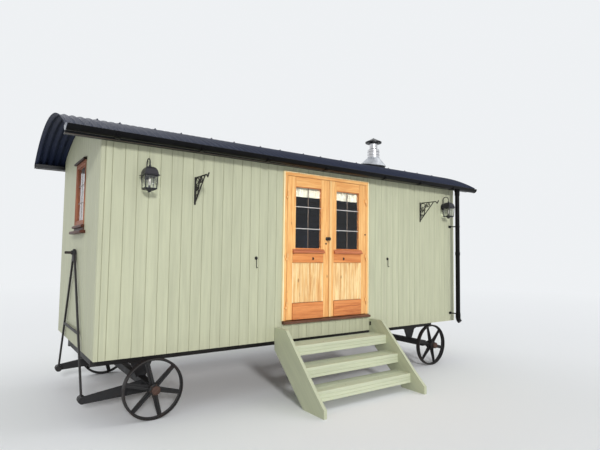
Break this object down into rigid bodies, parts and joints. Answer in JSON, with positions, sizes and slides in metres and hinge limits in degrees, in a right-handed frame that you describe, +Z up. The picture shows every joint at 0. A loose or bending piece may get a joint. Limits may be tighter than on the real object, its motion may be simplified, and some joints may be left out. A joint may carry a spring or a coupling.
{
  "type": "shepherds hut",
  "caption": "Boarded shepherds hut on iron wheels with an arched corrugated roof, glazed double doors, open steps, flue, gutters and folded tow bar.",
  "frame": {"origin": "bottom centre of the bounding box, on the ground", "axes": "+X along the body towards the flue end, -Y out of the doors, +Z up"},
  "size_m": [6.2, 3.32, 3.596],
  "materials": {
    "black_iron": "satin",
    "sage_boards": "satin",
    "floor_boards": "satin",
    "roof_boards": "satin",
    "roof_sheet": "satin",
    "black_gutter": "satin",
    "zinc_hood": "satin",
    "flue_steel": "brushed",
    "oiled_timber": "satin",
    "window_glass": "clear",
    "dark_sill": "satin",
    "lantern_metal": "satin",
    "lantern_glass": "clear"
  },
  "bodies": {
    "hut": {"chassis_frame": "black_iron", "front_axle": "black_iron", "rear_axle": "black_iron", "floor_deck": "floor_boards", "front_wall_left": "sage_boards", "front_wall_right": "sage_boards", "front_wall_over_door": "sage_boards", "front_wall_under_door": "sage_boards", "back_wall": "sage_boards", "left_end_wall": "sage_boards", "right_end_wall": "sage_boards", "roof_shell": "roof_boards", "roof_sheet": "roof_sheet", "eaves": "sage_boards", "gutters": "black_gutter", "downpipes": "black_gutter", "flue_flashing": "zinc_hood", "flue_pipe": "flue_steel", "flue_cap": "black_iron", "left_window_frame": "oiled_timber", "left_window_glass": "window_glass", "door_frame": "oiled_timber", "threshold": "dark_sill", "hinge_pins": "black_iron", "door_hooks": "black_iron", "step_stringer_left": "sage_boards", "step_stringer_right": "sage_boards", "step_tread_top": "sage_boards", "step_tread_middle": "sage_boards", "step_tread_bottom": "sage_boards", "lanterns": "lantern_metal", "lantern_glasses": "lantern_glass", "basket_brackets": "black_iron"},
    "door_left": {"door_left": "oiled_timber", "door_left_glass": "window_glass", "door_left_hinges": "black_iron", "door_knob": "black_iron"},
    "door_right": {"door_right": "oiled_timber", "door_right_glass": "window_glass", "door_right_hinges": "black_iron"},
    "tow_bar": {"tow_bar": "black_iron"},
    "wheel_front_near": {"wheel_front_near": "black_iron"},
    "wheel_front_far": {"wheel_front_far": "black_iron"},
    "wheel_rear_near": {"wheel_rear_near": "black_iron"},
    "wheel_rear_far": {"wheel_rear_far": "black_iron"}
  },
  "joints": [
    {"name": "door_left_hinge", "type": "hinge", "parent": "hut", "child": "door_left", "pos_m": [-0.5755, -0.728, 1.64], "axis": [0, 0, -1], "range_deg": [0, 170]},
    {"name": "door_right_hinge", "type": "hinge", "parent": "hut", "child": "door_right", "pos_m": [0.7455, -0.728, 1.64], "axis": [0, 0, 1], "range_deg": [0, 170]},
    {"name": "tow_bar_hinge", "type": "hinge", "parent": "hut", "child": "tow_bar", "pos_m": [-2.774, 0.375, 0.216], "axis": [0, -1, 0], "range_deg": [0, 94]},
    {"name": "wheel_front_near_spin", "type": "hinge", "parent": "hut", "child": "wheel_front_near", "pos_m": [-2.165, -0.69, 0.305], "axis": [0, 1, 0], "continuous": true},
    {"name": "wheel_front_far_spin", "type": "hinge", "parent": "hut", "child": "wheel_front_far", "pos_m": [-2.165, 1.44, 0.305], "axis": [0, 1, 0], "continuous": true},
    {"name": "wheel_rear_near_spin", "type": "hinge", "parent": "hut", "child": "wheel_rear_near", "pos_m": [2.165, -0.69, 0.305], "axis": [0, 1, 0], "continuous": true},
    {"name": "wheel_rear_far_spin", "type": "hinge", "parent": "hut", "child": "wheel_rear_far", "pos_m": [2.165, 1.44, 0.305], "axis": [0, 1, 0], "continuous": true}
  ]
}
